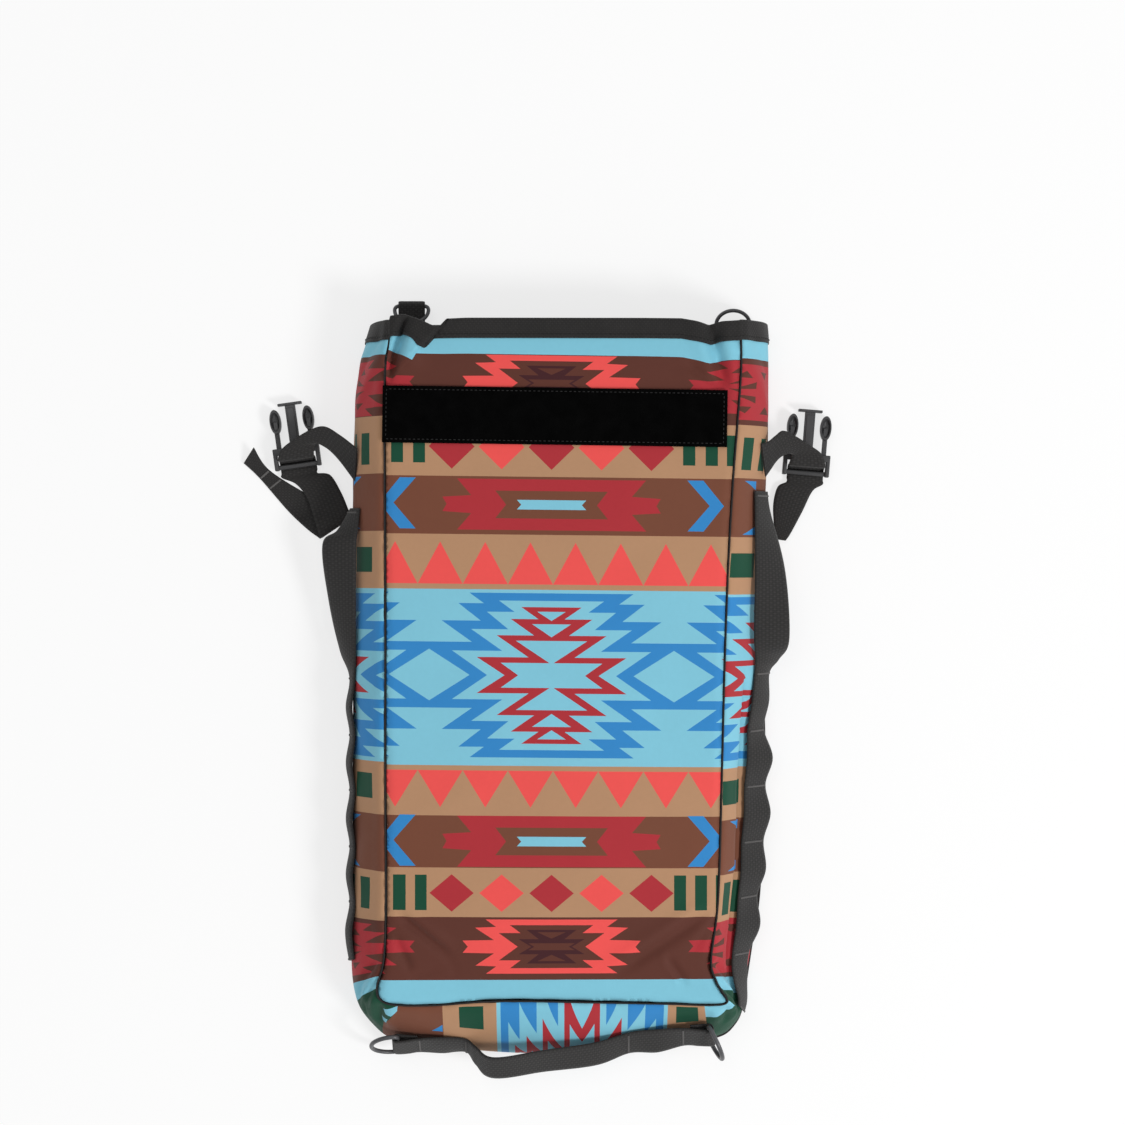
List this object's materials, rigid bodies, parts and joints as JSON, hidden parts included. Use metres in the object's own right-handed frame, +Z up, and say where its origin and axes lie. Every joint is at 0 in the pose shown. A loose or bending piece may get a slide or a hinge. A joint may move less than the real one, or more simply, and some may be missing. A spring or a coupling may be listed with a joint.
{
  "type": "shovel bag",
  "caption": "Flat rectangular printed cloth bag with an open bound mouth, loop strip, webbing handles and side straps with buckle halves.",
  "frame": {"origin": "on the underside of the back panel, near its middle", "axes": "+X across the bag towards its right side, +Y along the bag towards its mouth, +Z up, out of the printed front"},
  "size_m": [0.4044, 0.5302, 0.0616],
  "materials": {
    "printed_cloth": "woven polyester printed with bands of stepped diamonds",
    "back_cloth": "plain woven",
    "binding_tape": "ribbed tape, stitched",
    "loop_pile": "matte loop pile",
    "webbing": "flat woven webbing, bar-tacked",
    "buckle_plastic": "fine satin",
    "ring_metal": "dark satin"
  },
  "bodies": {
    "bag": {"front_panel": "printed_cloth", "gusset": "printed_cloth", "back_panel": "back_cloth", "front_seam": "binding_tape", "back_seam": "binding_tape", "mouth_binding": "binding_tape", "loop_strip": "loop_pile", "left_webbing": "webbing", "right_webbing": "webbing", "bottom_webbing": "webbing", "left_buckle_strap": "webbing", "right_buckle_strap": "webbing", "top_left_tab": "webbing", "top_right_tab": "webbing"},
    "bottom_left_ring": {"bottom_left_ring": "ring_metal"},
    "bottom_right_ring": {"bottom_right_ring": "ring_metal"},
    "top_left_ring": {"top_left_ring": "ring_metal"},
    "top_right_ring": {"top_right_ring": "ring_metal"},
    "left_buckle": {"left_buckle": "buckle_plastic"},
    "right_buckle": {"right_buckle": "buckle_plastic"}
  },
  "joints": [
    {"name": "bottom_left_ring_swing", "type": "hinge", "parent": "bag", "child": "bottom_left_ring", "pos_m": [-0.10762, -0.247, 0.02198], "axis": [0.0193, 0.4842, 0.8747], "range_deg": [-10, 80]},
    {"name": "bottom_right_ring_swing", "type": "hinge", "parent": "bag", "child": "bottom_right_ring", "pos_m": [0.10454, -0.23957, 0.02982], "axis": [-0.1129, 0.5505, 0.8272], "range_deg": [-20, 70]},
    {"name": "top_left_ring_swing", "type": "hinge", "parent": "bag", "child": "top_left_ring", "pos_m": [-0.099, 0.257, 0.00775], "axis": [1, 0, 0], "range_deg": [-150, 0]},
    {"name": "top_right_ring_swing", "type": "hinge", "parent": "bag", "child": "top_right_ring", "pos_m": [0.1215, 0.241, 0.00775], "axis": [1, 0, 0], "range_deg": [-5, 100]},
    {"name": "left_buckle_tilt", "type": "hinge", "parent": "bag", "child": "left_buckle", "pos_m": [-0.1771, 0.1477, 0.0052], "axis": [0.9903, 0.139, 0], "range_deg": [-60, 12]},
    {"name": "right_buckle_tilt", "type": "hinge", "parent": "bag", "child": "right_buckle", "pos_m": [0.1715, 0.1425, 0.0052], "axis": [0.9968, -0.08, 0], "range_deg": [-60, 12]}
  ]
}
